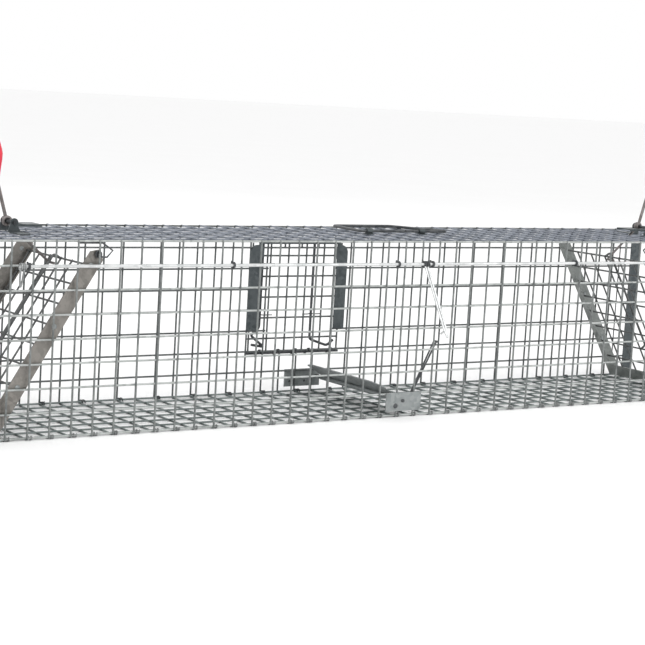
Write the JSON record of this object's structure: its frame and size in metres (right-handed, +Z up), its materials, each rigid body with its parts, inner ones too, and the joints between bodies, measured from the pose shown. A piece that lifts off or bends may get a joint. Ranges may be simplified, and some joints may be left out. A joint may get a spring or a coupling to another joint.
{
  "type": "live catch trap",
  "caption": "Long welded-mesh cage trap with a sloping gravity door and red lift lever at each end, a centre treadle, a trigger rod and a rear access door.",
  "frame": {"origin": "middle of the cage on the ground, in the plane of the underside of the floor mesh", "axes": "+X along the cage towards the right end, +Y from the front wall with the trigger rod to the rear wall with the access door, +Z up"},
  "size_m": [1.1022, 0.249, 0.3521],
  "materials": {
    "zinc_wire": "galvanised, dull bright",
    "zinc_sheet": "galvanised, dull",
    "clips_and_rivets": "galvanised, dull",
    "red_grip": "dipped plastic"
  },
  "bodies": {
    "cage": {"front_mesh": "zinc_wire", "rear_mesh": "zinc_wire", "top_mesh": "zinc_wire", "floor_mesh": "zinc_wire", "front_edge_clips": "clips_and_rivets", "rear_edge_clips": "clips_and_rivets", "left_end_frame": "zinc_sheet", "right_end_frame": "zinc_sheet", "left_sill": "zinc_sheet", "right_sill": "zinc_sheet", "left_hinge_hangers": "zinc_sheet", "right_hinge_hangers": "zinc_sheet", "left_hinge_pins": "zinc_wire", "right_hinge_pins": "zinc_wire", "left_lever_bracket": "zinc_sheet", "right_lever_bracket": "zinc_sheet", "left_lever_pin": "zinc_wire", "right_lever_pin": "zinc_wire", "rod_guides": "clips_and_rivets", "front_treadle_plate": "zinc_sheet", "rear_treadle_plate": "zinc_sheet", "treadle_plate_rivets": "clips_and_rivets", "rear_hinge_clips": "clips_and_rivets", "handle_clips": "clips_and_rivets", "access_edging": "zinc_sheet", "right_end_upright": "zinc_wire"},
    "trigger": {"trigger_rod": "zinc_wire", "crank": "zinc_wire", "left_door_catch": "zinc_wire", "right_door_catch": "zinc_wire"},
    "treadle": {"treadle_axle": "zinc_wire", "treadle_pan": "zinc_sheet", "treadle_arm": "zinc_wire"},
    "rear_door": {"rear_door_mesh": "zinc_wire", "rear_door_hinge_rod": "zinc_wire", "latch_staples": "clips_and_rivets"},
    "left_latch": {"left_rear_latch": "zinc_wire"},
    "right_latch": {"right_rear_latch": "zinc_wire"},
    "handle": {"carry_handle": "zinc_wire"},
    "left_door": {"left_door_mesh": "zinc_wire", "left_door_strips": "zinc_sheet", "left_door_foot": "zinc_sheet", "left_door_rivets": "clips_and_rivets", "left_lift_guide": "zinc_wire"},
    "left_lever_arm": {"left_lever": "zinc_wire", "left_grip": "red_grip"},
    "right_door": {"right_door_mesh": "zinc_wire", "right_door_strips": "zinc_sheet", "right_door_foot": "zinc_sheet", "right_door_rivets": "clips_and_rivets", "right_lift_guide": "zinc_wire"},
    "right_lever_arm": {"right_lever": "zinc_wire", "right_grip": "red_grip"}
  },
  "joints": [
    {"name": "left_door_hinge", "type": "hinge", "parent": "cage", "child": "left_door", "pos_m": [-0.4, 0, 0.194], "axis": [0, 1, 0], "range_deg": [0, 51]},
    {"name": "left_lever_pivot", "type": "hinge", "parent": "cage", "child": "left_lever_arm", "pos_m": [-0.4625, 0, 0.22], "axis": [0, 1, 0], "range_deg": [0, 102]},
    {"name": "right_door_hinge", "type": "hinge", "parent": "cage", "child": "right_door", "pos_m": [0.4, 0, 0.194], "axis": [0, -1, 0], "range_deg": [0, 51]},
    {"name": "right_lever_pivot", "type": "hinge", "parent": "cage", "child": "right_lever_arm", "pos_m": [0.4625, 0, 0.22], "axis": [0, -1, 0], "range_deg": [0, 102]},
    {"name": "trigger_rod_turn", "type": "hinge", "parent": "cage", "child": "trigger", "pos_m": [0, -0.09652, 0.18255], "axis": [1, 0, 0], "range_deg": [-40, 30]},
    {"name": "treadle_tilt", "type": "hinge", "parent": "cage", "child": "treadle", "pos_m": [0.008, 0, 0.0198], "axis": [0, 1, 0], "range_deg": [-50, 10]},
    {"name": "rear_door_hinge", "type": "hinge", "parent": "cage", "child": "rear_door", "pos_m": [-0.029, 0.09402, 0.0505], "axis": [-1, 0, 0], "range_deg": [0, 100]},
    {"name": "left_latch_slide", "type": "slide", "parent": "rear_door", "child": "left_latch", "axis": [0, 0, 1], "range_m": [0, 0.012]},
    {"name": "right_latch_slide", "type": "slide", "parent": "rear_door", "child": "right_latch", "axis": [0, 0, 1], "range_m": [0, 0.012]},
    {"name": "handle_fold", "type": "hinge", "parent": "cage", "child": "handle", "pos_m": [0.0545, -0.01287, 0.2134], "axis": [1, 0, 0], "range_deg": [0, 100]}
  ],
  "couplings": [
    {"joint": "left_lever_pivot", "follows": "left_door_hinge", "ratio": 2},
    {"joint": "right_lever_pivot", "follows": "right_door_hinge", "ratio": 2}
  ]
}
